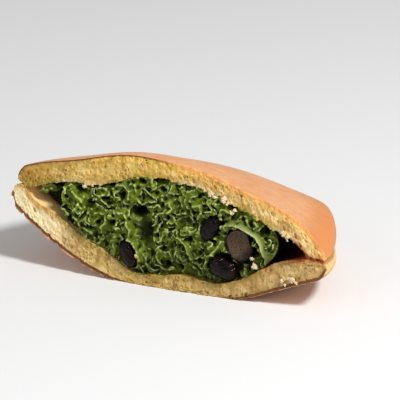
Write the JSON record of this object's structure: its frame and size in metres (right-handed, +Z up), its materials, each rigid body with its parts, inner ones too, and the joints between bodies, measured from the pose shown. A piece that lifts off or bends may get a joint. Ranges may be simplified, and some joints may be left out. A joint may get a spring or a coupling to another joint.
{
  "type": "dorayaki",
  "caption": "Cut half of a round filled sweet: browned castella pancakes closed at their rims round green bean cream with dark beans, lying flat.",
  "frame": {"origin": "on the surface that the half rests on, inside the flat spot of the lower pancake's underside", "axes": "+Z up; +X along the cut, to the right as one looks at it; the cut looks along -Y and 7 degrees up; the round rim is towards +Y"},
  "size_m": [0.0901, 0.0479, 0.0341],
  "materials": {
    "castella": "soft baked skin, matte, with a pale yellow open crumb where it is cut",
    "cream": "moist torn bean paste, dark green with lighter ridges",
    "bean": "moist boiled skin, nearly black, glossy"
  },
  "bodies": {
    "root": {"upper_pancake": "castella", "lower_pancake": "castella", "matcha_cream": "cream", "adzuki_bean_1": "bean", "adzuki_bean_2": "bean", "adzuki_bean_3": "bean", "adzuki_bean_4": "bean"}
  },
  "joints": []
}
